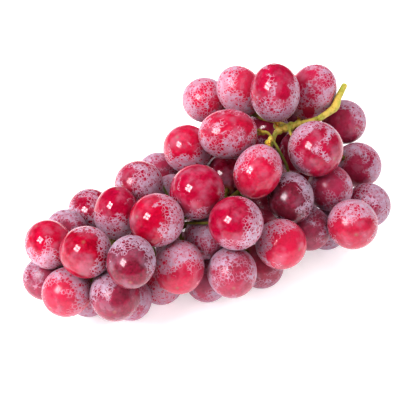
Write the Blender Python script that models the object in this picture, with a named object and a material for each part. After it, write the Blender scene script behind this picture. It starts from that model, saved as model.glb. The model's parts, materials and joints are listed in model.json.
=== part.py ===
"""A bunch of red table grapes, lying on its side as picked.

One stem carries every grape on a stalk of its own. The grapes that show from the front are set
on their lines of sight in the reference view, the others lie in rows behind and below them, and
all of them then swell and settle against each other, the stalks and the table.
Metres, +Z up. +X runs from the bunch's tip to its cut stem, and the table is the plane z = 0.
"""

import math

import bmesh
import bpy
import numpy as np
from mathutils import Matrix, Vector

# The reference view: where its camera stands, and the width of one of its pixels at the aim
VIEW_AZIMUTH = math.radians(-30)
VIEW_ELEVATION = math.radians(38)
VIEW_DISTANCE = 0.85
VIEW_MIDDLE = 200
PIXEL = 0.0005
AIM = np.array([0.0, 0.0, 0.036])

# Grape skins, from the brightest to the darkest
RUBY, WINE, DUSK = "ruby_skin", "wine_skin", "dusk_skin"

# Grapes that show: the middle's column and row in the view and its height over the table, then
# the grape's width, length and skin
SHOWN = [
    (205, 100, 0.060, 0.0235, 0.0240, RUBY),
    (240, 91, 0.066, 0.0230, 0.0275, RUBY),
    (275, 93, 0.072, 0.0250, 0.0300, WINE),
    (312, 92, 0.065, 0.0245, 0.0300, WINE),
    (228, 134, 0.064, 0.0245, 0.0300, RUBY),
    (344, 122, 0.042, 0.0235, 0.0240, DUSK),
    (316, 149, 0.054, 0.0275, 0.0285, WINE),
    (300, 152, 0.037, 0.0225, 0.0235, DUSK),
    (258, 171, 0.053, 0.0230, 0.0280, RUBY),
    (187, 149, 0.057, 0.0240, 0.0260, RUBY),
    (159, 174, 0.046, 0.0220, 0.0230, DUSK),
    (139, 184, 0.050, 0.0230, 0.0250, WINE),
    (174, 196, 0.038, 0.0220, 0.0230, DUSK),
    (197, 192, 0.056, 0.0265, 0.0270, WINE),
    (226, 175, 0.042, 0.0220, 0.0230, DUSK),
    (91, 212, 0.036, 0.0225, 0.0240, WINE),
    (116, 213, 0.044, 0.0220, 0.0270, WINE),
    (66, 231, 0.034, 0.0210, 0.0220, DUSK),
    (49, 244, 0.038, 0.0230, 0.0245, RUBY),
    (86, 252, 0.042, 0.0250, 0.0260, RUBY),
    (157, 220, 0.055, 0.0255, 0.0265, RUBY),
    (131, 262, 0.040, 0.0230, 0.0270, DUSK),
    (206, 236, 0.032, 0.0220, 0.0230, DUSK),
    (236, 223, 0.048, 0.0260, 0.0265, WINE),
    (291, 198, 0.037, 0.0230, 0.0265, DUSK),
    (266, 208, 0.027, 0.0220, 0.0220, DUSK),
    (179, 267, 0.034, 0.0245, 0.0275, RUBY),
    (232, 272, 0.026, 0.0240, 0.0260, WINE),
    (281, 244, 0.027, 0.0250, 0.0255, RUBY),
    (309, 228, 0.021, 0.0220, 0.0230, DUSK),
    (326, 229, 0.011, 0.0215, 0.0220, DUSK),
    (352, 224, 0.020, 0.0250, 0.0260, RUBY),
    (368, 205, 0.019, 0.0230, 0.0235, DUSK),
    (358, 165, 0.027, 0.0235, 0.0250, DUSK),
    (330, 188, 0.033, 0.0230, 0.0240, DUSK),
    (261, 266, 0.012, 0.0225, 0.0230, WINE),
    (207, 280, 0.014, 0.0215, 0.0220, DUSK),
    (161, 282, 0.020, 0.0220, 0.0230, RUBY),
    (130, 298, 0.015, 0.0210, 0.0220, DUSK),
    (115, 295, 0.028, 0.0240, 0.0260, DUSK),
    (88, 295, 0.014, 0.0210, 0.0220, DUSK),
    (67, 292, 0.026, 0.0235, 0.0250, RUBY),
    (45, 278, 0.021, 0.0215, 0.0220, DUSK),
    (268, 130, 0.042, 0.0220, 0.0230, DUSK),
    (256, 115, 0.034, 0.0230, 0.0240, DUSK),
    (298, 113, 0.036, 0.0230, 0.0240, DUSK),
]

# Long grapes hold their stalk ends where the view shows them: angle in the view, 0 to the right and
# 90 up, and how far the stalk end turns away from the viewer
STALK_ENDS = {
    2: (-55, 25),
    3: (-86, 18),
    4: (-115, 22),
    5: (4, 8),
    6: (150, 55),
    7: (150, 45),
    9: (68, 14),
    10: (-50, 55),
    12: (5, 50),
    17: (-95, 30),
    21: (-10, 45),
    22: (90, 48),
    25: (95, 25),
    27: (86, 45),
    28: (95, 55),
    29: (165, 45),
}

# Grapes that don't show lie in rows: how many, the first and the last middle, width, length
HIDDEN_ROWS = [
    (7, (-0.062, 0.020, 0.012), (0.084, 0.038, 0.012), 0.0230, 0.0245),
    (5, (-0.045, -0.008, 0.012), (0.070, 0.006, 0.012), 0.0225, 0.0235),
    (1, (0.022, 0.044, 0.030), (0.022, 0.044, 0.030), 0.0230, 0.0240),
]
HIDDEN_SKINS = (WINE, DUSK, RUBY)
SCATTER = 0.0012
SEED = 7

# The main stem from its cut end to the bunch's tip: column and row in the view, height over the table
RACHIS = [
    (344, 86, 0.066),
    (337, 99, 0.063),
    (333, 109, 0.060),
    (320, 118, 0.058),
    (303, 123, 0.057),
    (288, 126, 0.057),
    (276, 132, 0.057),
    (270, 147, 0.051),
    (262, 164, 0.044),
    (251, 181, 0.039),
    (237, 193, 0.036),
    (213, 210, 0.036),
    (183, 227, 0.036),
    (152, 242, 0.036),
    (122, 255, 0.033),
    (95, 265, 0.029),
    (72, 271, 0.026),
]
# The stem is read every few millimetres, and its first stretch carries no grape
STEM_STEP = 0.005
BARE_LENGTH = 0.030
RACHIS_RADIUS = 0.0016
RACHIS_TIP_RADIUS = 0.0009
STALK_RADIUS = 0.0008
ROOT_RADIUS = 0.0005
COLLAR_RADIUS = 0.0017
COLLAR_LENGTH = 0.0024
STALK_STEPS = 5
STALK_ROOM = 0.006
STALK_STRAIGHT = 0.0045

# Faces that touch keep a gap, and a grape's foot is pressed flat on the table, with the corners
# that are this near to the table set on it
GAP = 0.0003
TABLE_PRESS = 0.0005
TABLE_SNAP = 0.00002

# A grape is a sphere of few facets, a little larger so that its facets keep its size, and dimpled
# at its stalk
GRAPE_SEGMENTS = 12
GRAPE_RINGS = 8
FACET_SWELL = 1.02
DIMPLE_FLOOR = 0.90


def unit(vectors):
    """The vectors at length 1."""
    return vectors / np.linalg.norm(vectors, axis=-1, keepdims=True)


def view_axes():
    """Right, up and towards the viewer in the reference view."""
    sine, cosine = math.sin(VIEW_AZIMUTH), math.cos(VIEW_AZIMUTH)
    level = math.cos(VIEW_ELEVATION)
    towards = np.array([sine * level, -cosine * level, math.sin(VIEW_ELEVATION)])
    right = np.array([cosine, sine, 0.0])
    return right, np.cross(towards, right), towards


def sight_lines(columns, rows):
    """The viewer's eye, and the direction from it through each pixel."""
    right, up, towards = view_axes()
    across = (np.asarray(columns) - VIEW_MIDDLE) * PIXEL
    rise = (VIEW_MIDDLE - np.asarray(rows)) * PIXEL
    lines = np.outer(across, right) + np.outer(rise, up) - towards * VIEW_DISTANCE
    return AIM + towards * VIEW_DISTANCE, unit(lines)


def on_sight_lines(columns, rows, heights):
    """The points seen at those pixels that stand at those heights over the table."""
    eye, lines = sight_lines(columns, rows)
    return eye + lines * ((np.asarray(heights) - eye[2]) / lines[:, 2])[:, None]


def smooth_path(knots, step):
    """Points about every step along a smooth curve through the knots."""
    knots = np.vstack([2 * knots[0] - knots[1], knots, 2 * knots[-1] - knots[-2]])
    points = [knots[1]]
    for before, start, end, after in zip(knots, knots[1:], knots[2:], knots[3:]):
        count = max(1, round(np.linalg.norm(end - start) / step))
        for t in np.arange(1, count + 1)[:, None] / count:
            bend = 2 * before - 5 * start + 4 * end - after
            twist = 3 * start - before - 3 * end + after
            points.append(start + ((end - before) * t + bend * t**2 + twist * t**3) / 2)
    return np.array(points)


class Bunch:
    """Places, sizes and stem ends of all grapes, and the stem's points, while they settle."""

    def __init__(self):
        columns, rows, heights, widths, lengths, skins = zip(*SHOWN)
        draw = np.random.default_rng(SEED)
        places = [on_sight_lines(columns, rows, heights)]
        widths, lengths, skins = list(widths), list(lengths), list(skins)
        for count, first, last, width, length in HIDDEN_ROWS:
            share = np.linspace(0, 1, count)[:, None]
            row = np.array(first) * (1 - share) + np.array(last) * share
            places.append(row + draw.normal(0, SCATTER, row.shape))
            widths += [width] * count
            lengths += [length] * count
            skins += [HIDDEN_SKINS[k % len(HIDDEN_SKINS)] for k in range(count)]
        self.shown = len(SHOWN)
        self.places = np.concatenate(places)
        self.half_width = np.array(widths) / 2
        self.half_length = np.array(lengths) / 2
        self.skins = skins
        self.eye, self.lines = sight_lines(columns, rows)
        self.stem = smooth_path(on_sight_lines(*zip(*RACHIS)), STEM_STEP)
        self.rachis = len(self.stem)
        self.bare = round(BARE_LENGTH / STEM_STEP)
        self.radius = np.linspace(RACHIS_RADIUS, RACHIS_TIP_RADIUS, self.rachis)
        self.stalks = []
        self.axes = unit(self.nearest_on_rachis() - self.places)
        self.held = np.zeros(len(self.places), bool)
        right, up, towards = view_axes()
        for number, (angle, away) in STALK_ENDS.items():
            angle, away = math.radians(angle), math.radians(away)
            across = right * math.cos(angle) + up * math.sin(angle)
            self.axes[number - 1] = across * math.cos(away) - towards * math.sin(away)
            self.held[number - 1] = True

    def nearest_on_rachis(self):
        """For each grape, the nearest point of the main stem's leafless part."""
        bearing = self.stem[self.bare : self.rachis]
        apart = np.linalg.norm(self.places[:, None] - bearing[None], axis=2)
        return bearing[apart.argmin(axis=1)]

    def reach(self, directions, swell=1.0):
        """How far each grape reaches from its middle along its own row of directions."""
        along = np.einsum("ijk,ik->ij", directions, self.axes) ** 2
        wide, long = self.half_width[:, None] ** 2, self.half_length[:, None] ** 2
        return swell * np.sqrt(wide * (1 - along) + long * along)

    def between_grapes(self, swell=1.0):
        """Directions from each grape to each other one, and by how much the two overlap."""
        steps = self.places[None] - self.places[:, None]
        apart = np.linalg.norm(steps, axis=2)
        np.fill_diagonal(apart, 1.0)
        directions = steps / apart[:, :, None]
        reach = self.reach(directions, swell)
        return directions, reach + reach.T + GAP - apart

    def push_grapes(self, swell):
        """Overlapping grapes move apart, half each."""
        directions, overlap = self.between_grapes(swell)
        self.places -= np.einsum("ijk,ij->ik", directions, overlap.clip(0)) * 0.3

    def push_stem(self, swell):
        """Grapes and the stem's points that overlap move apart. The main stem stays where it is."""
        steps = self.stem[None] - self.places[:, None]
        apart = np.linalg.norm(steps, axis=2)
        directions = steps / apart[:, :, None]
        needed = self.reach(directions, swell) + self.radius[None] + GAP
        overlap = (needed - apart).clip(0)
        for grape, stalk in enumerate(self.stalks):
            overlap[grape, stalk[-1]] = 0
        push = directions * overlap[:, :, None]
        self.places -= push.sum(axis=1) * 0.15
        moves = push.sum(axis=0) * 0.4
        moves[: self.rachis] = 0
        self.stem += moves

    def straighten_stalks(self):
        """Each stalk's points pull into line between its root and its grape, whose stem end follows."""
        for grape, stalk in enumerate(self.stalks):
            if self.held[grape]:
                self.stem[stalk[-1]] = self.stalk_goal(grape)
            self.axes[grape] = unit(self.stem[stalk[-1]] - self.places[grape])
            end = self.places[grape] + self.axes[grape] * self.half_length[grape]
            line = np.vstack([self.stem[stalk], end])
            middle = (line[:-2] + line[2:]) / 2
            self.stem[stalk[1:]] += (middle - line[1:-1]) * 0.3

    def keep_to_view(self):
        """Grapes that show slide along their lines of sight, and none sinks into the table."""
        seen = self.places[: self.shown] - self.eye
        along = np.einsum("ij,ij->i", seen, self.lines)[:, None]
        on_line = self.eye + self.lines * along
        self.places[: self.shown] = on_line * 0.8 + self.places[: self.shown] * 0.2
        down = np.tile([[[0.0, 0.0, -1.0]]], (len(self.places), 1, 1))
        lowest = self.reach(down)[:, 0] - TABLE_PRESS
        self.places[:, 2] = np.maximum(self.places[:, 2], lowest)
        self.stem[:, 2] = np.maximum(self.stem[:, 2], self.radius + GAP)

    def settle(self, rounds, pull):
        """The grapes swell to their full size while they and the stalks push each other into place."""
        homes = self.places.copy()
        for turn in range(rounds):
            swell = min(1.0, 0.6 + 0.8 * turn / rounds)
            self.places += (homes - self.places) * pull
            self.push_grapes(swell)
            self.push_stem(swell)
            self.straighten_stalks()
            self.keep_to_view()

    def stalk_goal(self, grape):
        """Where a stalk on its way from the stem turns into that grape."""
        if not self.held[grape]:
            return self.places[grape]
        return self.places[grape] + self.axes[grape] * (self.half_length[grape] + STALK_STRAIGHT)

    def blocked(self, starts, grape):
        """For each start, how deep the straight way to that grape runs through others."""
        share = np.linspace(0.1, 0.9, 9)[:, None, None]
        ways = starts[None] * (1 - share) + self.stalk_goal(grape) * share
        others = np.arange(len(self.places))
        if not self.held[grape]:
            others = np.delete(others, grape)
        apart = np.linalg.norm(ways[:, :, None] - self.places[others], axis=3)
        inside = (self.half_width[others] - apart).clip(0)
        return inside.sum(axis=(0, 2))

    def grow_stalks(self):
        """Each grape gets a stalk from the nearest clear part of the stem that grew before it."""
        self.stalks = [None] * len(self.places)
        roots = list(range(self.bare, self.rachis))
        away = np.linalg.norm(self.places - self.nearest_on_rachis(), axis=1)
        for grape in np.argsort(away):
            starts, goal = self.stem[roots], self.stalk_goal(grape)
            far = np.linalg.norm(starts - goal, axis=1)
            near = np.linalg.norm(starts - self.places[grape], axis=1)
            short = (self.half_length[grape] + STALK_ROOM - near).clip(0)
            root = roots[int((far + 4 * short + 0.5 * self.blocked(starts, grape)).argmin())]
            share = np.linspace(0, 1, STALK_STEPS + 1)[1:-1, None]
            end = goal
            if not self.held[grape]:
                end = goal - unit(goal - self.stem[root]) * self.half_length[grape]
            way = self.stem[root] * (1 - share) + end * share
            first = len(self.stem)
            self.stem = np.vstack([self.stem, way])
            self.radius = np.append(self.radius, [STALK_RADIUS] * len(way))
            self.stalks[grape] = [root, *range(first, len(self.stem))]
            roots += self.stalks[grape][1:3]


def nearest_on_segments(starts, ends, point):
    """The nearest point to that point on each segment."""
    along = ends - starts
    share = np.einsum("ij,ij->i", point - starts, along) / np.einsum("ij,ij->i", along, along)
    return starts + along * share.clip(0, 1)[:, None]


def principled(name, colour, roughness):
    """A plain material of that colour."""
    material = bpy.data.materials.new(name)
    material.use_nodes = True
    shader = material.node_tree.nodes["Principled BSDF"]
    shader.inputs["Base Color"].default_value = (*colour, 1.0)
    shader.inputs["Roughness"].default_value = roughness
    return material


def tip_of(bunch, grape):
    """Where the stalk's collar ends, just clear of its grape's dimple."""
    floor = bunch.half_length[grape] * FACET_SWELL * DIMPLE_FLOOR
    return bunch.places[grape] + bunch.axes[grape] * (floor + GAP)


def stalk_path(bunch, grape):
    """The stalk's points and radii, from its root to the flat end of its collar."""
    tip, axis = tip_of(bunch, grape), bunch.axes[grape]
    stalk = bunch.stalks[grape]
    path = [bunch.stem[stalk[0]]]
    radii = [ROOT_RADIUS]
    for index in stalk[1:]:
        if (bunch.stem[index] - tip) @ axis > COLLAR_LENGTH * 1.3:
            path.append(bunch.stem[index])
            radii.append(bunch.radius[index])
    path += [tip + axis * COLLAR_LENGTH * share for share in (1, 0.4, 0)]
    radii += [STALK_RADIUS, COLLAR_RADIUS, COLLAR_RADIUS]
    return np.array(path), radii


def stem_segments(bunch, grape):
    """Starts, ends and radii of all of the stem but that grape's own collar and the way into it."""
    starts, ends, radii = [], [], []
    paths = [(bunch.stem[: bunch.rachis], bunch.radius[: bunch.rachis])]
    paths += [stalk_path(bunch, other) for other in range(len(bunch.places)) if other != grape]
    own, own_radii = stalk_path(bunch, grape)
    paths.append((own[:-3], own_radii[:-3]))
    for path, thickness in paths:
        starts.extend(path[:-1])
        ends.extend(path[1:])
        radii.extend(np.maximum(thickness[:-1], thickness[1:]))
    return np.array(starts), np.array(ends), np.array(radii)


def contact_planes(bunch, grape):
    """Directions and distances from that grape's middle to the planes it stays behind."""
    directions, overlap = bunch.between_grapes(FACET_SWELL)
    reach = bunch.reach(directions, FACET_SWELL)[grape]
    near = overlap[grape] > 0
    near[grape] = False
    starts, ends, radii = stem_segments(bunch, grape)
    steps = nearest_on_segments(starts, ends, bunch.places[grape]) - bunch.places[grape]
    apart = np.linalg.norm(steps, axis=1)
    normals = np.vstack([directions[grape][near], steps / apart[:, None]])
    limits = np.append((reach - overlap[grape] / 2)[near], apart - radii * 1.1 - GAP)
    return normals, limits


def add_grape(bunch, grape, collection, material):
    """One grape: a faceted ovoid with a dimple at its stalk, flat where it meets what touches it."""
    mesh = bpy.data.meshes.new(f"grape_{grape + 1:02d}")
    solid = bmesh.new()
    bmesh.ops.create_uvsphere(solid, u_segments=GRAPE_SEGMENTS, v_segments=GRAPE_RINGS, radius=1)
    stalk_end = max(solid.verts, key=lambda vertex: vertex.co.z)
    stalk_end.co.z = DIMPLE_FLOOR
    width = bunch.half_width[grape] * FACET_SWELL
    length = bunch.half_length[grape] * FACET_SWELL
    turn = Vector(bunch.axes[grape]).to_track_quat("Z", "Y").to_matrix().to_4x4()
    solid.transform(turn @ Matrix.Diagonal((width, width, length, 1)))
    normals, limits = contact_planes(bunch, grape)
    for vertex in solid.verts:
        rise = normals @ np.array(vertex.co)
        past = rise > limits
        if past.any():
            vertex.co *= (limits[past] / rise[past]).min()
    height = bunch.places[grape][2]
    for vertex in solid.verts:
        if abs(vertex.co.z + height) < TABLE_SNAP:
            vertex.co.z = -height
    if min(vertex.co.z for vertex in solid.verts) < -height:
        bmesh.ops.bisect_plane(
            solid, geom=solid.verts[:] + solid.edges[:] + solid.faces[:], dist=1e-5,
            plane_co=(0, 0, -height), plane_no=(0, 0, -1), clear_outer=True,
        )
        rim = [edge for edge in solid.edges if edge.is_boundary]
        foot = bmesh.ops.contextual_create(solid, geom=rim)
        for face in foot["faces"]:
            face.normal_update()
            if face.normal.z > 0:
                face.normal_flip()
    solid.to_mesh(mesh)
    solid.free()
    mesh.materials.append(material)
    mesh.shade_smooth()
    mesh.set_sharp_from_angle(angle=math.radians(40))
    piece = bpy.data.objects.new(mesh.name, mesh)
    piece.location = bunch.places[grape]
    collection.objects.link(piece)
    return piece


def tube(name, path, radii, collection):
    """A closed mesh tube along the path."""
    curve = bpy.data.curves.new(f"{name}_line", "CURVE")
    curve.dimensions = "3D"
    curve.bevel_depth = 1.0
    curve.bevel_resolution = 2
    curve.use_fill_caps = True
    spline = curve.splines.new("POLY")
    spline.points.add(len(path) - 1)
    for point, place, radius in zip(spline.points, path, radii):
        point.co = (*place, 1.0)
        point.radius = radius
    guide = bpy.data.objects.new(f"{name}_line", curve)
    collection.objects.link(guide)
    bpy.context.view_layer.update()
    depsgraph = bpy.context.evaluated_depsgraph_get()
    mesh = bpy.data.meshes.new_from_object(guide.evaluated_get(depsgraph))
    solid = bmesh.new()
    solid.from_mesh(mesh)
    bmesh.ops.remove_doubles(solid, verts=solid.verts, dist=1e-6)
    bmesh.ops.recalc_face_normals(solid, faces=solid.faces)
    solid.to_mesh(mesh)
    solid.free()
    piece = bpy.data.objects.new(name, mesh)
    piece.matrix_world = guide.matrix_world
    collection.objects.link(piece)
    bpy.data.objects.remove(guide)
    return piece


def add_stem(bunch, collection, material):
    """The main stem and every grape's stalk with its collar, grown together as one piece."""
    stalks = bpy.data.collections.new("stalks")
    bpy.context.scene.collection.children.link(stalks)
    stem = tube("stem", bunch.stem[: bunch.rachis], bunch.radius[: bunch.rachis], collection)
    for grape in range(len(bunch.places)):
        path, radii = stalk_path(bunch, grape)
        tube(f"stalk_{grape + 1:02d}", path, radii, stalks)
    union = stem.modifiers.new("stalks", "BOOLEAN")
    union.operation = "UNION"
    union.operand_type = "COLLECTION"
    union.collection = stalks
    union.solver = "EXACT"
    with bpy.context.temp_override(object=stem, active_object=stem):
        bpy.ops.object.modifier_apply(modifier=union.name)
    for stalk in list(stalks.objects):
        bpy.data.objects.remove(stalk)
    bpy.data.collections.remove(stalks)
    stem.data.materials.clear()
    stem.data.materials.append(material)
    return stem


def stand_on_origin(pieces):
    """The bunch moves so that the middle of its underside is at the origin."""
    bpy.context.view_layer.update()
    corners = np.array([
        piece.matrix_world @ vertex.co for piece in pieces for vertex in piece.data.vertices
    ])
    lowest, highest = corners.min(axis=0), corners.max(axis=0)
    shift = Vector(((lowest[0] + highest[0]) / 2, (lowest[1] + highest[1]) / 2, lowest[2]))
    for piece in pieces:
        piece.location -= shift


def main():
    for item in list(bpy.data.objects):
        bpy.data.objects.remove(item)
    collection = bpy.data.collections.new("grape_bunch")
    bpy.context.scene.collection.children.link(collection)
    skins = {
        RUBY: principled("ruby_skin", (0.42, 0.035, 0.055), 0.3),
        WINE: principled("wine_skin", (0.27, 0.030, 0.060), 0.35),
        DUSK: principled("dusk_skin", (0.13, 0.025, 0.055), 0.4),
    }
    green = principled("green_stem", (0.36, 0.33, 0.07), 0.6)

    bunch = Bunch()
    bunch.settle(400, 0.02)
    bunch.grow_stalks()
    bunch.settle(900, 0.01)
    pieces = []
    for grape, skin in enumerate(bunch.skins):
        pieces.append(add_grape(bunch, grape, collection, skins[skin]))
    pieces.append(add_stem(bunch, collection, green))
    stand_on_origin(pieces)


if __name__ == "__main__":
    main()
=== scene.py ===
import json
import math

import bpy
import numpy as np
from mathutils import Matrix, Vector


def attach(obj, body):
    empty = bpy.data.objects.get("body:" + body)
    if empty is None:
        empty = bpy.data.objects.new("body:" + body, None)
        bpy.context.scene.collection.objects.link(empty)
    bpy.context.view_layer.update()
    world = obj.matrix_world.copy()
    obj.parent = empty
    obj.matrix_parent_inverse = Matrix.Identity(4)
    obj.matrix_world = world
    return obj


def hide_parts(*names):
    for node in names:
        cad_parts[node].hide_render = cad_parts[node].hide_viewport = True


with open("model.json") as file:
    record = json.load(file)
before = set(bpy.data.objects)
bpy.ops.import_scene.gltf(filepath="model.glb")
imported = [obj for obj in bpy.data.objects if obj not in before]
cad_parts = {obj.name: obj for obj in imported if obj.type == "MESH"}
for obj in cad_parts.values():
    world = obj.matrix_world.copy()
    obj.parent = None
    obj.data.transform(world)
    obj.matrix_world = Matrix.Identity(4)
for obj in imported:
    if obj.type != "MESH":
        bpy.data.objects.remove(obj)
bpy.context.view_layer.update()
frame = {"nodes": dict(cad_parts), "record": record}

print("frame loaded:", len(frame["nodes"]), "nodes")


def deselectAll():
    if bpy.context.object and bpy.context.object.mode != "OBJECT":
        bpy.ops.object.mode_set(mode="OBJECT")
    bpy.ops.object.select_all(action="DESELECT")


def selectOnly(thing):
    deselectAll()
    thing.select_set(True)
    bpy.context.view_layer.objects.active = thing


def applyModifier(thing, kind, **values):
    selectOnly(thing)
    modifier = thing.modifiers.new(kind.lower(), kind)
    for name, value in values.items():
        setattr(modifier, name, value)
    bpy.ops.object.modifier_apply(modifier=modifier.name)


def cornersOf(mesh):
    flat = np.empty(len(mesh.vertices) * 3)
    mesh.vertices.foreach_get("co", flat)
    return flat.reshape(-1, 3)


def setCorners(mesh, corners):
    mesh.vertices.foreach_set("co", corners.ravel())
    mesh.update()


def addAttribute(mesh, name, values):
    attribute = mesh.attributes.new(name, "FLOAT", "POINT")
    attribute.data.foreach_set("value", np.asarray(values, np.float32))


def unit(vectors):
    return vectors / np.linalg.norm(vectors, axis=-1, keepdims=True)


# The camera, where the reference picture was taken from
camera = {
    "azimuth": -30,                       # degrees from the front, and above the table
    "elevation": 38,
    "distance": 0.85,
    "frameWidth": 0.200,                  # what the picture spans at the aim
    "pixels": 400,                        # its width and height, for places given as column and row
    "aim": (-0.0051, -0.0022, 0.036),
    "sensor": 36,
    "clip": (0.01, 20),
}
azimuth, elevation = math.radians(camera["azimuth"]), math.radians(camera["elevation"])
towardsViewer = np.array([
    math.sin(azimuth) * math.cos(elevation),
    -math.cos(azimuth) * math.cos(elevation),
    math.sin(elevation),
])
viewRight = np.array([math.cos(azimuth), math.sin(azimuth), 0])
viewUp = np.cross(towardsViewer, viewRight)
eye = np.array(camera["aim"]) + towardsViewer * camera["distance"]
pictureMiddle = camera["pixels"] / 2


def makeCamera():
    lens = bpy.data.cameras.new("camera")
    lens.sensor_width = camera["sensor"]
    lens.lens = camera["sensor"] * camera["distance"] / camera["frameWidth"]
    lens.clip_start, lens.clip_end = camera["clip"]
    holder = bpy.data.objects.new("camera", lens)
    bpy.context.scene.collection.objects.link(holder)
    holder.location = eye
    holder.rotation_euler = Vector(towardsViewer).to_track_quat("Z", "Y").to_euler()
    bpy.context.scene.camera = holder


def onSight(column, row, height):         # the point that is seen at that pixel, at that height
    across = (column - pictureMiddle) * camera["frameWidth"] / camera["pixels"]
    rise = (pictureMiddle - row) * camera["frameWidth"] / camera["pixels"]
    line = viewRight * across + viewUp * rise - towardsViewer * camera["distance"]
    return eye + line * (height - eye[2]) / line[2]


def pixelsOf(points):                     # the column and row at which each point is seen
    steps = points - eye
    scale = camera["pixels"] / camera["frameWidth"] * camera["distance"] / -(steps @ towardsViewer)
    return pictureMiddle + steps @ viewRight * scale, pictureMiddle - steps @ viewUp * scale


# Reading the plain grapes: each one's middle, stalk direction and half sizes
plainGrape = {
    "swell": 1.02,                        # its corners stand out past the round skin
    "turns": 14,
    "looseTurns": 4,
    "pressedLoose": 0.001,                # corners pressed in farther are left out of the fit: here
    "pressed": 0.00015,                   # for its first turns and here for the later ones
    "nudge": 1e-6,
    "leastSlope": 1e-4,
}


def weldedShape(node):
    mesh = frame["nodes"][node].data
    corners, place = np.unique(cornersOf(mesh).round(7), axis=0, return_inverse=True)
    place = place.ravel()
    beside = [set() for corner in corners]
    for edge in mesh.edges:
        first, second = place[edge.vertices[0]], place[edge.vertices[1]]
        if first != second:
            beside[first].add(second)
            beside[second].add(first)
    return corners, beside


def fitGrape(node):
    corners, beside = weldedShape(node)
    middle = (corners.max(axis=0) + corners.min(axis=0)) / 2
    hollow = [
        (corners[sorted(near)].mean(axis=0) - corner) @ unit(corner - middle)
        for corner, near in zip(corners, beside)
    ]
    stalkEnd = int(np.argmax(hollow))
    skin = np.delete(corners, stalkEnd, axis=0)
    width = np.linalg.norm(skin - middle, axis=1).mean()
    # the guess holds the middle, the stalk's direction, the half width and the half length
    guess = np.concatenate([middle, unit(corners[stalkEnd] - middle), [width, width]])
    nudge = plainGrape["nudge"]

    def miss(values):
        steps = skin - values[:3]
        far = np.linalg.norm(steps, axis=1)
        along = (steps @ unit(values[3:6]) / far) ** 2
        return far - 1 / np.sqrt((1 - along) / values[6] ** 2 + along / values[7] ** 2)

    for turn in range(plainGrape["turns"]):
        off = miss(guess)
        loose = turn < plainGrape["looseTurns"]
        kept = off > -plainGrape["pressedLoose" if loose else "pressed"]
        slope = np.array([(miss(guess + row) - off) / nudge for row in np.eye(len(guess)) * nudge]).T
        change = np.linalg.lstsq(slope[kept], -off[kept], rcond=plainGrape["leastSlope"])[0]
        guess = guess + change
        guess[3:6] = unit(guess[3:6])
    axis = guess[3:6] * np.sign(guess[3:6] @ (corners[stalkEnd] - guess[:3]))
    return guess[:3], axis, guess[6] / plainGrape["swell"], guess[7] / plainGrape["swell"]


grapeNames = sorted(name for name in frame["nodes"] if name.startswith("grape_"))
fits = [fitGrape(name) for name in grapeNames]
middles = np.array([fit[0] for fit in fits])
stalkWays = np.array([fit[1] for fit in fits])
halfWidths = np.array([fit[2] for fit in fits])
halfLengths = np.array([fit[3] for fit in fits])
stemCorners = np.unique(cornersOf(frame["nodes"]["stem"].data).round(6), axis=0)
print("grapes read:", len(grapeNames))


# One fine grape, shaped once: a dimple at its stalk and a small scar at the far end. Each grape is
# a copy of it, stretched to its sizes, a little uneven and pressed flat where it touches something
grapeShape = {
    "around": 80,
    "rings": 56,
    "pole": 0.9999,                       # higher corners than this on the unit ball are its poles
    "dimple": 0.085,                      # depth and spread, in shares of the half size
    "dimpleSpread": 0.44,
    "scar": 0.022,
    "scarSpread": 0.13,
    "swellings": 5,
    "swellingTurns": (1.2, 2.6),          # how fast a slow swelling waves over the grape
    "uneven": 0.0066,
    "anyTurn": 6.3,                       # radians, once around
    "pressFrom": 0.975,                   # share of the way to a neighbour where the skin flattens
    "contactGap": 0.0002,
    "neighbourReach": 0.034,              # nothing farther away than this presses a grape
    "stemReach": 0.0005,
    "ownCollar": 0.0040,                  # the grape's own collar doesn't press it
    "seed": 11,
}


def sinkPole(thing, side, depth, spread):
    selectOnly(thing)
    bpy.ops.object.mode_set(mode="EDIT")
    bpy.ops.mesh.select_all(action="DESELECT")
    bpy.ops.object.mode_set(mode="OBJECT")
    for vertex in thing.data.vertices:
        vertex.select = vertex.co.z * side > grapeShape["pole"]
    bpy.ops.object.mode_set(mode="EDIT")
    bpy.ops.mesh.select_mode(type="VERT")
    bpy.ops.transform.translate(
        value=(0, 0, -side * depth), use_proportional_edit=True,
        proportional_edit_falloff="SMOOTH", proportional_size=spread,
    )
    bpy.ops.object.mode_set(mode="OBJECT")


def makeGrapeMaster():
    deselectAll()
    bpy.ops.mesh.primitive_uv_sphere_add(
        segments=grapeShape["around"], ring_count=grapeShape["rings"], radius=1, location=(0, 0, 0),
    )
    master = bpy.context.object
    master.name = "grapeMaster"
    sinkPole(master, 1, grapeShape["dimple"], grapeShape["dimpleSpread"])
    sinkPole(master, -1, grapeShape["scar"], grapeShape["scarSpread"])
    selectOnly(master)
    bpy.ops.object.shade_smooth()
    return master


def supportOf(which, directions):
    along = (directions @ stalkWays[which]) ** 2
    return np.sqrt(halfWidths[which] ** 2 * (1 - along) + halfLengths[which] ** 2 * along)


def planesAround(index):                  # what presses the grape: its neighbours, the stem, the table
    ways, limits = [], []
    for other in range(len(middles)):
        step = middles[other] - middles[index]
        far = np.linalg.norm(step)
        if other != index and far < grapeShape["neighbourReach"]:
            way = step / far
            own, theirs = supportOf(index, way), supportOf(other, -way)
            ways.append(way)
            limits.append(own - max(0, own + theirs + grapeShape["contactGap"] - far) / 2)
    steps = stemCorners - middles[index]
    far = np.linalg.norm(steps, axis=1)
    stalkEnd = middles[index] + stalkWays[index] * halfLengths[index]
    foreign = np.linalg.norm(stemCorners - stalkEnd, axis=1) > grapeShape["ownCollar"]
    near = (far < halfLengths[index] + grapeShape["stemReach"]) & foreign
    ways += list(steps[near] / far[near, None])
    limits += list(far[near] - grapeShape["contactGap"])
    ways.append(np.array([0, 0, -1.0]))
    limits.append(middles[index][2])
    return np.array(ways), np.array(limits)


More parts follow.
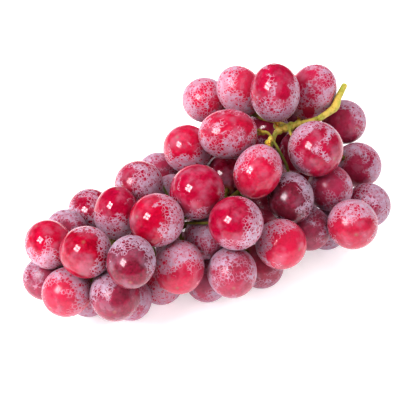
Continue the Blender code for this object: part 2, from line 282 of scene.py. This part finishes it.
def shapeGrape(master, index, draw):
    mesh = master.data.copy()
    corners = cornersOf(mesh)
    bulge = np.zeros(len(corners))
    for swelling in range(grapeShape["swellings"]):       # so that no two are alike
        way = unit(draw.normal(size=3))
        wave = corners @ way * draw.uniform(*grapeShape["swellingTurns"])
        wave = np.sin(wave + draw.uniform(0, grapeShape["anyTurn"]))
        bulge += wave * draw.normal(0, grapeShape["uneven"])
    fromStalk = unit(corners)[:, 2]       # 1 at the stalk, -1 at the far end
    halfSizes = [halfWidths[index], halfWidths[index], halfLengths[index]]
    corners = corners * (1 + bulge[:, None]) * halfSizes
    roll = Matrix.Rotation(draw.uniform(0, grapeShape["anyTurn"]), 3, "Z")
    turn = np.array(Vector(stalkWays[index]).to_track_quat("Z", "Y").to_matrix() @ roll)
    corners = corners @ turn.T
    ways, limits = planesAround(index)
    press = (corners @ ways.T / limits).max(axis=1)
    start = grapeShape["pressFrom"]
    eased = np.where(press > start, 1 - (1 - start) * np.exp(-(press - start) / (1 - start)), press)
    corners = corners * (eased / press)[:, None] + middles[index]
    setCorners(mesh, corners)
    return mesh, fromStalk


# How each grape that shows looks: brightness, bloom all over, where the bloom is thickest (its
# direction in the picture in degrees, 0 to the right and 90 up, and how strong), and dullness
# Brightness is partly each grape's own depth of red and partly painted light and shade: some grapes
# that lie in shade, such as grape_13 and grape_08, are given lighter skin or more pale bloom
grapeTonesAndLight = {
    "grape_01": (0.90, 0.54, 150, 0.22, 0.3),
    "grape_02": (0.90, 0.50, 205, 0.60, 0.6),
    "grape_03": (0.70, 0.50, 290, 0.40, 0.1),
    "grape_04": (1.00, 0.58, 325, 0.36, 0.4),
    "grape_05": (0.64, 0.52, 270, 0.25, 0.2),
    "grape_06": (0.80, 0.38, 55, 0.55, 0.7),
    "grape_07": (0.62, 0.40, 140, 0.34, 0.2),
    "grape_08": (0.62, 0.15, 120, 0.20, 0.1),
    "grape_09": (0.82, 0.36, 90, 0.45, 0.2),
    "grape_10": (0.82, 0.46, 285, 0.50, 0.1),
    "grape_11": (0.68, 0.52, 90, 0.20, 0.8),
    "grape_12": (0.54, 0.62, 320, 0.30, 0.4),
    "grape_13": (1.00, 0.95, 60, 0.15, 0.8),
    "grape_14": (0.62, 0.26, 250, 0.25, 0.0),
    "grape_15": (0.22, 0.14, 90, 0.10, 0.0),
    "grape_16": (0.50, 0.60, 290, 0.35, 0.0),
    "grape_17": (0.62, 0.40, 275, 0.45, 0.0),
    "grape_18": (0.55, 0.55, 90, 0.15, 0.8),
    "grape_19": (0.62, 0.38, 285, 0.45, 0.0),
    "grape_20": (0.34, 0.22, 15, 0.62, 0.0),
    "grape_21": (0.52, 0.40, 0, 0.62, 0.0),
    "grape_22": (0.28, 0.34, 60, 0.50, 0.3),
    "grape_23": (1.00, 0.72, 90, 0.20, 0.8),
    "grape_24": (0.55, 0.36, 330, 0.50, 0.0),
    "grape_25": (0.12, 0.47, 35, 0.40, 0.4),
    "grape_26": (0.60, 0.32, 90, 0.20, 0.7),
    "grape_27": (0.80, 0.54, 95, 0.55, 0.5),
    "grape_28": (0.56, 0.54, 110, 0.38, 0.8),
    "grape_29": (0.92, 0.45, 130, 0.50, 0.4),
    "grape_30": (0.56, 0.40, 60, 0.25, 0.9),
    "grape_31": (0.50, 0.72, 0, 0.20, 0.9),
    "grape_32": (0.58, 0.46, 80, 0.35, 0.5),
    "grape_33": (0.58, 0.50, 25, 0.70, 0.7),
    "grape_34": (0.88, 0.48, 60, 0.28, 0.7),
    "grape_35": (0.86, 0.36, 300, 0.30, 0.8),
    "grape_36": (0.42, 0.40, 0, 0.20, 0.9),
    "grape_37": (0.90, 0.54, 0, 0.25, 0.9),
    "grape_38": (1.00, 0.50, 300, 0.35, 0.7),
    "grape_39": (0.85, 0.59, 0, 0.20, 0.9),
    "grape_40": (0.42, 0.40, 125, 0.48, 0.6),
    "grape_41": (1.00, 0.66, 0, 0.20, 0.9),
    "grape_42": (0.72, 0.50, 75, 0.50, 0.6),
    "grape_43": (0.58, 0.35, 90, 0.38, 0.6),
    "grape_44": (0.40, 0.32, 90, 0.15, 0.3),
    "grape_45": (0.10, 0.29, 90, 0.15, 0.3),
    "grape_46": (0.30, 0.20, 90, 0.15, 0.3),
}
unseenGrapes = {
    "tones": [(0.62, 0.45), (0.32, 0.50), (0.80, 0.38)],  # brightness and bloom all over, by turns
    "patch": 0.3,
    "dull": 0.5,
}
paintedRimSheen = {                               # painted pale rim: more bloom towards each shown grape's outline as seen from the camera and less where it faces the camera, standing in for the sheen at grazing angles
    "clear": 0.30,
    "even": 0.55,
    "most": 0.45,
}
rubbing = {
    "edge": 1.6,                          # how many radii a rubbed spot reaches, fading out
    "clears": 0.9,                        # how much bloom is gone in its middle
}
rubMarks = {                              # where the bloom is rubbed off: column, row, radius in pixels
    "grape_04": ((309, 113, 4.5),),
    "grape_06": ((347, 138, 3.0),),
    "grape_03": ((283, 92, 5.0),),
    "grape_14": ((191, 186, 8.0),),
    "grape_20": ((84, 254, 9.0),),
    "grape_21": ((148, 222, 8.0),),
    "grape_29": ((294, 246, 9.0),),
}


def rubbedAt(name, corners, outwards):    # 1 in the middle of a rubbed spot
    column, row = pixelsOf(corners)
    rubbed = np.zeros(len(corners))
    for markColumn, markRow, radius in rubMarks.get(name, ()):
        away = np.hypot(column - markColumn, row - markRow) / radius
        facing = outwards @ towardsViewer > 0
        rubbed = np.maximum(rubbed, np.clip(rubbing["edge"] - away, 0, 1) * facing)
    return rubbed


def toneAndLightOf(index, draw):
    name = grapeNames[index]
    if name in grapeTonesAndLight:
        return grapeTonesAndLight[name]
    toneAndLight, bloom = unseenGrapes["tones"][index % len(unseenGrapes["tones"])]
    return toneAndLight, bloom, draw.uniform(0, 360), unseenGrapes["patch"], unseenGrapes["dull"]


# Grape skin: red flesh glowing under a waxy bloom that small drops have washed off
grapeSkin = {
    "ruby_skin": {"deep": (0.21, 0.0005, 0.018), "bright": (0.48, 0.004, 0.053)},
    "wine_skin": {"deep": (0.17, 0.0005, 0.017), "bright": (0.41, 0.004, 0.056)},
    "dusk_skin": {"deep": (0.110, 0.0005, 0.013), "bright": (0.35, 0.004, 0.058)},
    "mottle": ((150, 0.8), (620, 0.7)),   # scale and strength
    "mottleBend": 0.3,
    "cellMottle": 0.34,
    "bloomColour": (0.44, 0.37, 0.465),
    "bloomStrength": 0.80,
    "veil": (420, 0.3, 0.7, 0.62, 1.0),   # how much the bloom varies: scale, from, to, least, most
    "haze": (130, 0.40, 0.72, 0.24),      # scale, from, to, strength
    "film": 0.14,                         # the thin bloom all over a dull grape
    "patchScale": 105,
    "patchBend": 0.6,
    "patchContrast": 1.7,
    "patchEdge": (0.18, 0.90),
    "bodyFrom": 0.50,                     # how thick the bloom is where it has its full strength
    "net": (560, 0.045, 0.15, 0.50),      # scale, half width and soft edge of its lines, strength
    "netThick": (0.02, 0.26),             # how thick the bloom is where the net begins and is whole
    "drops": (                            # scale, then least and added reach in thin and in thick bloom
        (540, 0.50, 0.40, 0.02, 0.46),
        (1080, 0.36, 0.46, -0.06, 0.46),
    ),
    "dropEdge": 0.08,
    "dropRagged": (1100, 0.12),           # scale and strength
    "scatter": 0.34,
    "scatterColour": (1.0, 0.14, 0.16),
    "scatterScale": 0.006,
    "gloss": 0.09,
    "bloomRoughness": 0.44,
    "fullRoughAt": 0.8,                   # how much bloom makes the skin fully rough
    "dullRoughness": 0.24,
    "specular": 0.5,
    "sheen": 0.16,
    "sheenRoughness": 0.16,
    "sheenTint": (0.95, 0.80, 0.90, 1),
    "scarFrom": 0.9975,                   # how near to the far end the scar begins, and its soft edge
    "scarEdge": 0.002,
    "scarColour": (0.28, 0.10, 0.07),
    "capFrom": 0.93,                      # the same for the browner skin around the stalk
    "capEdge": 0.07,
    "capShare": 0.5,
    "capColour": (0.42, 0.16, 0.03),
}


class NodeSheet:                          # short ways to place and join a material's nodes
    def __init__(self, name):
        self.material = bpy.data.materials.new(name)
        self.material.use_nodes = True
        self.tree = self.material.node_tree
        self.shader = self.tree.nodes["Principled BSDF"]

    def add(self, kind, inputs=None, **settings):
        node = self.tree.nodes.new(kind)
        for name, value in settings.items():
            setattr(node, name, value)
        for name, value in (inputs or {}).items():
            if isinstance(value, bpy.types.NodeSocket):
                self.tree.links.new(value, node.inputs[name])
            else:
                node.inputs[name].default_value = value
        return node

    def calc(self, operation, first, second, clamp=False):
        inputs = {0: first, 1: second}
        node = self.add("ShaderNodeMath", inputs, operation=operation, use_clamp=clamp)
        return node.outputs[0]

    def ramp(self, value, low, high, toLow=0.0, toHigh=1.0):
        inputs = {"Value": value, "From Min": low, "From Max": high, "To Min": toLow, "To Max": toHigh}
        return self.add("ShaderNodeMapRange", inputs, interpolation_type="SMOOTHSTEP").outputs["Result"]

    def blend(self, share, first, second):
        node = self.add("ShaderNodeMix", data_type="RGBA")
        for number, value in ((0, share), (6, first), (7, second)):
            socket = node.inputs[number]
            if isinstance(value, bpy.types.NodeSocket):
                self.tree.links.new(value, socket)
            elif isinstance(value, tuple):
                socket.default_value = (*value, 1)
            else:
                socket.default_value = value
        return node.outputs[2]

    def value(self, name):
        return self.add("ShaderNodeAttribute", attribute_name=name).outputs["Fac"]

    def noise(self, place, scale, detail=3.0, distortion=0.0):
        inputs = {"Vector": place, "Scale": scale, "Detail": detail, "Distortion": distortion}
        return self.add("ShaderNodeTexNoise", inputs).outputs["Fac"]

    def voronoi(self, place, scale, feature):
        inputs = {"Vector": place, "Scale": scale}
        return self.add("ShaderNodeTexVoronoi", inputs, feature=feature).outputs

    def cells(self, place, scale):
        outputs = self.voronoi(place, scale, "F1")
        return outputs["Distance"], outputs["Color"]

    def borders(self, place, scale):
        return self.voronoi(place, scale, "DISTANCE_TO_EDGE")["Distance"]

    def shade(self, **values):
        for name, value in values.items():
            socket = self.shader.inputs[name.replace("_", " ")]
            if isinstance(value, bpy.types.NodeSocket):
                self.tree.links.new(value, socket)
            else:
                socket.default_value = value


def makeSkin(name):
    sheet = NodeSheet(name)
    tint = grapeSkin[name]
    place = sheet.add("ShaderNodeTexCoord").outputs["Object"]
    toneAndLight, bloom, dull = sheet.value("toneAndLight"), sheet.value("bloom"), sheet.value("dull")
    scar, cap = sheet.value("scar"), sheet.value("cap")

    # patches of bloom, thin at their edges
    patches = sheet.noise(place, grapeSkin["patchScale"], 4, grapeSkin["patchBend"])
    cover = sheet.calc("MULTIPLY", sheet.calc("SUBTRACT", patches, 0.5), grapeSkin["patchContrast"])
    thick = sheet.ramp(sheet.calc("ADD", cover, bloom), *grapeSkin["patchEdge"])

    # round drops of two sizes have washed it off, more where it is thin
    raggedScale, raggedMost = grapeSkin["dropRagged"]
    ragged = sheet.calc("SUBTRACT", sheet.noise(place, raggedScale, 2), 0.5)
    ragged = sheet.calc("MULTIPLY", ragged, raggedMost)
    dots = None
    for scale, thinLeast, thinMore, thickLeast, thickMore in grapeSkin["drops"]:
        far, tintOfCell = sheet.cells(place, scale)
        luck = sheet.add("ShaderNodeSeparateColor", {"Color": tintOfCell}).outputs[0]
        least = sheet.ramp(thick, 0.0, 1.0, thinLeast, thickLeast)
        more = sheet.ramp(thick, 0.0, 1.0, thinMore, thickMore)
        reach = sheet.calc("ADD", sheet.calc("MULTIPLY", luck, more), least)
        clear = sheet.calc("SUBTRACT", sheet.calc("ADD", far, ragged), reach)
        kept = sheet.ramp(clear, -grapeSkin["dropEdge"] / 2, grapeSkin["dropEdge"])
        dots = kept if dots is None else sheet.calc("MULTIPLY", dots, kept)
    body = sheet.ramp(thick, 0.0, grapeSkin["bodyFrom"])
    veilScale, veilFrom, veilTo, veilLeast, veilMost = grapeSkin["veil"]
    veil = sheet.ramp(sheet.noise(place, veilScale, 2), veilFrom, veilTo, veilLeast, veilMost)
    wax = sheet.calc("MULTIPLY", sheet.calc("MULTIPLY", body, dots), veil)
    wax = sheet.calc("MULTIPLY", wax, grapeSkin["bloomStrength"], clamp=True)

    # between the patches: a haze, a net of fine lines where drops have dried, and a thin film
    hazeScale, hazeFrom, hazeTo, hazeMost = grapeSkin["haze"]
    haze = sheet.ramp(sheet.noise(place, hazeScale, 3), hazeFrom, hazeTo, 0.0, hazeMost)
    netScale, netWidth, netEnd, netMost = grapeSkin["net"]
    line = sheet.ramp(sheet.borders(place, netScale), netWidth, netEnd, netMost, 0.0)
    line = sheet.calc("MULTIPLY", line, sheet.ramp(thick, *grapeSkin["netThick"]))
    film = sheet.calc("MULTIPLY", sheet.calc("MULTIPLY", dull, veil), grapeSkin["film"])
    for layer in (haze, line, film):
        wax = sheet.calc("MAXIMUM", wax, layer)

    # the skin under it: warmer and brighter where the flesh shows through
    cellGlow = sheet.calc("MULTIPLY", sheet.calc("SUBTRACT", luck, 0.5), grapeSkin["cellMottle"])
    # each grape's brightness value is partly its own depth of red and partly painted light and shade
    glow = sheet.calc("ADD", toneAndLight, cellGlow)
    for scale, strength in grapeSkin["mottle"]:
        mottle = sheet.calc("SUBTRACT", sheet.noise(place, scale, 3, grapeSkin["mottleBend"]), 0.5)
        glow = sheet.calc("ADD", glow, sheet.calc("MULTIPLY", mottle, strength))
    glow = sheet.calc("MAXIMUM", sheet.calc("MINIMUM", glow, 1.0), 0.0)
    skin = sheet.blend(glow, tint["deep"], tint["bright"])
    capCover = sheet.calc("MULTIPLY", cap, grapeSkin["capShare"])
    skin = sheet.blend(capCover, skin, grapeSkin["capColour"])
    skin = sheet.blend(scar, skin, grapeSkin["scarColour"])
    rough, roughAt = grapeSkin["bloomRoughness"], grapeSkin["fullRoughAt"]
    roughness = sheet.ramp(wax, 0.0, roughAt, grapeSkin["gloss"], rough)
    dullness = sheet.calc("MULTIPLY", dull, grapeSkin["dullRoughness"])
    sheet.shade(
        Base_Color=sheet.blend(wax, skin, grapeSkin["bloomColour"]),
        Roughness=sheet.calc("ADD", roughness, dullness),
        Subsurface_Weight=grapeSkin["scatter"],
        Subsurface_Radius=grapeSkin["scatterColour"],
        Subsurface_Scale=grapeSkin["scatterScale"],
        Specular_IOR_Level=grapeSkin["specular"],
        Sheen_Weight=grapeSkin["sheen"],
        Sheen_Roughness=grapeSkin["sheenRoughness"],
        Sheen_Tint=grapeSkin["sheenTint"],
    )
    return sheet.material


def makeGrapes():
    master = makeGrapeMaster()
    draw = np.random.default_rng(grapeShape["seed"])
    skins = {name: makeSkin(name) for name in ("ruby_skin", "wine_skin", "dusk_skin")}
    slots = {row["node"]: row["material_slot"] for row in frame["record"]["subparts"]}
    for index, name in enumerate(grapeNames):
        mesh, fromStalk = shapeGrape(master, index, draw)
        toneAndLight, bloom, angle, strength, dull = toneAndLightOf(index, draw)
        angle = math.radians(angle)
        thickWay = viewRight * math.cos(angle) + viewUp * math.sin(angle)
        outwards = unit(cornersOf(mesh) - middles[index])
        addAttribute(mesh, "toneAndLight", np.full(len(fromStalk), toneAndLight))
        addAttribute(mesh, "dull", np.full(len(fromStalk), dull))
        rubbed = rubbedAt(name, cornersOf(mesh), outwards)
        if name in grapeTonesAndLight:
            # painted pale rim: more bloom towards the outline as seen from the camera, less where the
            # skin faces it
            turnedAway = np.minimum(paintedRimSheen["even"] - outwards @ towardsViewer, paintedRimSheen["most"])
            bloom = bloom + paintedRimSheen["clear"] * turnedAway
        bloom = bloom + strength * (outwards @ thickWay) - rubbing["clears"] * rubbed
        scar = np.clip((-fromStalk - grapeSkin["scarFrom"]) / grapeSkin["scarEdge"], 0, 1)
        cap = np.clip((fromStalk - grapeSkin["capFrom"]) / grapeSkin["capEdge"], 0, 1)
        addAttribute(mesh, "bloom", bloom)
        addAttribute(mesh, "scar", scar)
        addAttribute(mesh, "cap", cap)
        mesh.materials.clear()
        mesh.materials.append(skins[slots[name]])
        grape = bpy.data.objects.new(name.replace("grape", "ripeGrape"), mesh)
        bpy.context.scene.collection.objects.link(grape)
        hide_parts(name)
        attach(grape, "root")
    bpy.data.objects.remove(master)
    print("grapes shaped:", len(grapeNames))


makeGrapes()

# The stem, grown smooth from the plain one, with knobs where branches leave it
stemShape = {
    "cell": 0.00034,
    "sameSpot": 0.000001,
    "smooth": 4,
    "smoothShare": 0.5,
    "bare": [                             # the bare end: column, row, height and radius along it
        (344.2, 86, 0.0660, 0.00160),
        (338.5, 97, 0.0634, 0.00180),
        (336, 105, 0.0612, 0.00220),
        (334, 108.5, 0.0603, 0.00210),
        (327, 113.5, 0.0600, 0.00180),
        (320, 118, 0.0600, 0.00165),
    ],
    "bareSteps": 8,
    "knobs": [                            # the same, for swellings at its branches and collars
        (298, 124, 0.0570, 0.00200),
        (291, 126, 0.0570, 0.00230),
        (285, 128, 0.0570, 0.00230),
        (279, 131, 0.0570, 0.00200),
        (277, 126, 0.0575, 0.00200),
        (272, 140, 0.0540, 0.00190),
        (268, 143, 0.0665, 0.00180),
        (270.5, 139, 0.0650, 0.00150),
        (259.5, 132, 0.0668, 0.00165),
        (263, 133, 0.0662, 0.00135),
        (262, 164, 0.0440, 0.00170),
    ],
    "collarReach": 0.0036,                # from the grape's end, and how steeply the collar fades there
    "collarFade": 1.4,
    "wart": 0.00095,
    "wartSize": 0.0010,
    "ripple": 0.00016,
    "rippleSize": 0.0016,
}
stemColours = {
    "green": (0.36, 0.37, 0.07),
    "gold": (0.56, 0.42, 0.11),
    "brown": (0.32, 0.12, 0.025),
    "collar": (0.66, 0.44, 0.06),
    "collarPits": (0.34, 0.11, 0.02),
    # painted shade: the dark olive painted on the stem where the bunch closes over it
    "paintedShade": (0.07, 0.075, 0.012),
    "specks": (0.50, 0.45),               # on bare bark, and added on the collars
    "shadeOpening": (262, 146, 12),            # painted shade: past this column and row, where the bunch closes over the stem, it is painted darker; soft width
    "patchNoise": (170, 0.42, 0.60),      # scale, from, to
    "speckNoise": (950, 0.56, 0.66),
    "pitNoise": (800, 0.44, 0.56),
    "collarFull": 0.6,                    # how much collar gives its full colour
    # painted shade: how much of that dark olive is laid on
    "paintedShadeShare": 0.85,
    "roughness": 0.45,
    "scatter": 0.15,
    "scatterColour": (0.8, 0.6, 0.2),
    "scatterScale": 0.001,
}


def roughen(thing, group, kind, size, strength):
    texture = bpy.data.textures.new(group or "ripple", kind)
    texture.noise_scale = size
    applyModifier(
        thing, "DISPLACE", texture=texture, strength=strength, mid_level=0.5, vertex_group=group,
    )


def makeBark():
    sheet = NodeSheet("stemBark")
    place = sheet.add("ShaderNodeTexCoord").outputs["Object"]
    collar, inShade = sheet.value("collar"), sheet.value("inShade")

    def noiseRamp(name, detail):
        scale, low, high = stemColours[name]
        return sheet.ramp(sheet.noise(place, scale, detail), low, high)

    bark = sheet.blend(noiseRamp("patchNoise", 3), stemColours["green"], stemColours["gold"])
    warty = sheet.blend(noiseRamp("pitNoise", 2), stemColours["collar"], stemColours["collarPits"])
    bark = sheet.blend(sheet.ramp(collar, 0.0, stemColours["collarFull"]), bark, warty)
    # painted shade: stalks inside the bunch are painted a darker olive
    shaded = sheet.calc("MULTIPLY", inShade, stemColours["paintedShadeShare"])
    bark = sheet.blend(shaded, bark, stemColours["paintedShade"])
    onBark, onCollar = stemColours["specks"]
    share = sheet.calc("ADD", sheet.calc("MULTIPLY", collar, onCollar), onBark)
    specks = sheet.calc("MULTIPLY", noiseRamp("speckNoise", 2), share)
    sheet.shade(
        Base_Color=sheet.blend(specks, bark, stemColours["brown"]),
        Roughness=stemColours["roughness"],
        Subsurface_Weight=stemColours["scatter"],
        Subsurface_Radius=stemColours["scatterColour"],
        Subsurface_Scale=stemColours["scatterScale"],
    )
    return sheet.material


def makeStem():
    deselectAll()
    mesh = frame["nodes"]["stem"].data.copy()
    mesh.materials.clear()
    stem = bpy.data.objects.new("greenStem", mesh)
    bpy.context.scene.collection.objects.link(stem)
    knobs = []
    swellings = list(stemShape["knobs"])
    for first, second in zip(stemShape["bare"], stemShape["bare"][1:]):
        swellings += [tuple(row) for row in np.linspace(first, second, stemShape["bareSteps"])]
    for column, row, height, radius in swellings:
        place = onSight(column, row, height)
        bpy.ops.mesh.primitive_ico_sphere_add(subdivisions=3, radius=radius, location=place)
        knobs.append(bpy.context.object)
    selectOnly(stem)
    for knob in knobs:
        knob.select_set(True)
    bpy.ops.object.join()
    bpy.ops.object.mode_set(mode="EDIT")
    bpy.ops.mesh.select_all(action="SELECT")
    bpy.ops.mesh.remove_doubles(threshold=stemShape["sameSpot"])
    bpy.ops.object.mode_set(mode="OBJECT")
    applyModifier(stem, "REMESH", mode="VOXEL", voxel_size=stemShape["cell"])
    applyModifier(stem, "SMOOTH", factor=stemShape["smoothShare"], iterations=stemShape["smooth"])

    corners = cornersOf(stem.data)
    ends = middles + stalkWays * halfLengths[:, None]
    away = np.full(len(corners), 1.0)
    for end in ends:
        away = np.minimum(away, np.linalg.norm(corners - end, axis=1))
    fade = stemShape["collarFade"]
    collar = np.clip(fade - away / stemShape["collarReach"] * fade, 0, 1)
    group = stem.vertex_groups.new(name="collars")
    for index in np.flatnonzero(collar):
        group.add([int(index)], float(collar[index]), "REPLACE")
    roughen(stem, "", "CLOUDS", stemShape["rippleSize"], stemShape["ripple"])
    roughen(stem, "collars", "VORONOI", stemShape["wartSize"], stemShape["wart"])
    # painted shade: marks the stem seen past the opening, where the bunch closes over it, to be painted
    # darker
    column, row = pixelsOf(corners)
    fromColumn, toRow, width = stemColours["shadeOpening"]
    outOfShade = np.clip((column - fromColumn) / width + 0.5, 0, 1)
    outOfShade = outOfShade * np.clip((toRow - row) / width + 0.5, 0, 1)
    addAttribute(stem.data, "collar", collar)
    addAttribute(stem.data, "inShade", 1 - outOfShade)
    selectOnly(stem)
    bpy.ops.object.shade_smooth()
    print("stem grown:", len(stem.data.polygons), "faces")

    stem.data.materials.append(makeBark())
    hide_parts("stem")
    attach(stem, "root")


makeStem()

# The white table and the light of the studio
studio = {
    "tableSize": 6,
    "tableTop": -0.0002,
    "tableColour": (0.86, 0.86, 0.86, 1),
    "tableRoughness": 0.7,
    "tableGlow": 0.32,                    # it shines a little by itself, which keeps shadows faint
    "white": (1, 1, 1, 1),
    "air": 0.74,
    "mirroredAir": 0.12,                  # reflections see dimmer walls
    "windowAway": 1.3,
    "windowWays": (-36, 14),              # degrees to the right of and above the camera
    "windowPane": 0.25,
    "windowBar": 0.04,
    "windowPower": 3.0,
    "frontRise": 0.35,
    "frontRight": 0.1,
    "frontSize": 1.0,
    "frontPower": 3.0,
    "top": ((0.1, 0.2, 1.2), 1.2, 2.0),   # place, size and power
    "back": ((0.7, 0.9, 0.5), 0.8, 3),
}


def addLamp(name, place, size, power, mirrored=False):
    light = bpy.data.lights.new(name, "AREA")
    light.size = size
    light.energy = power
    lamp = bpy.data.objects.new(name, light)
    bpy.context.scene.collection.objects.link(lamp)
    lamp.location = place
    lamp.rotation_euler = (Vector(place) - Vector(camera["aim"])).to_track_quat("Z", "Y").to_euler()
    lamp.visible_glossy = mirrored


def makeStudio():
    deselectAll()
    bpy.ops.mesh.primitive_plane_add(size=studio["tableSize"], location=(0, 0, studio["tableTop"]))
    table = bpy.context.object
    table.name = "whiteTable"
    sheet = NodeSheet("tableWhite")
    sheet.shade(
        Base_Color=studio["tableColour"],
        Roughness=studio["tableRoughness"],
        Emission_Color=studio["white"],
        Emission_Strength=studio["tableGlow"],
    )
    table.data.materials.append(sheet.material)

    world = bpy.data.worlds.new("studioAir")
    world.use_nodes = True
    nodes, links = world.node_tree.nodes, world.node_tree.links
    rays = nodes.new("ShaderNodeLightPath")
    strength = nodes.new("ShaderNodeMapRange")
    strength.inputs["To Min"].default_value = studio["air"]
    strength.inputs["To Max"].default_value = studio["mirroredAir"]
    links.new(rays.outputs["Is Glossy Ray"], strength.inputs["Value"])
    links.new(strength.outputs["Result"], nodes["Background"].inputs["Strength"])
    nodes["Background"].inputs["Color"].default_value = studio["white"]
    bpy.context.scene.world = world

    aim = np.array(camera["aim"])
    across, above = (math.radians(angle) for angle in studio["windowWays"])
    level = towardsViewer * math.cos(across) + viewRight * math.sin(across)
    way = level * math.cos(above) + viewUp * math.sin(above)
    centre = aim + way * studio["windowAway"]
    side = unit(np.cross([0, 0, 1], way))
    rise = np.cross(way, side)
    pane, power = studio["windowPane"], studio["windowPower"]
    step = (pane + studio["windowBar"]) / 2
    for column in (-1, 1):
        for row in (-1, 1):
            place = centre + side * column * step + rise * row * step
            addLamp(f"windowPane_{column}_{row}", place, pane, power, mirrored=True)
    way = towardsViewer + viewUp * studio["frontRise"] + viewRight * studio["frontRight"]
    front = aim + way * studio["windowAway"]
    addLamp("softFront", front, studio["frontSize"], studio["frontPower"])
    addLamp("softTop", *studio["top"])
    addLamp("softBack", *studio["back"])


makeCamera()
makeStudio()
bpy.context.scene.view_settings.view_transform = "Standard"
bpy.context.scene.view_settings.look = "High Contrast"
print("studio lit")
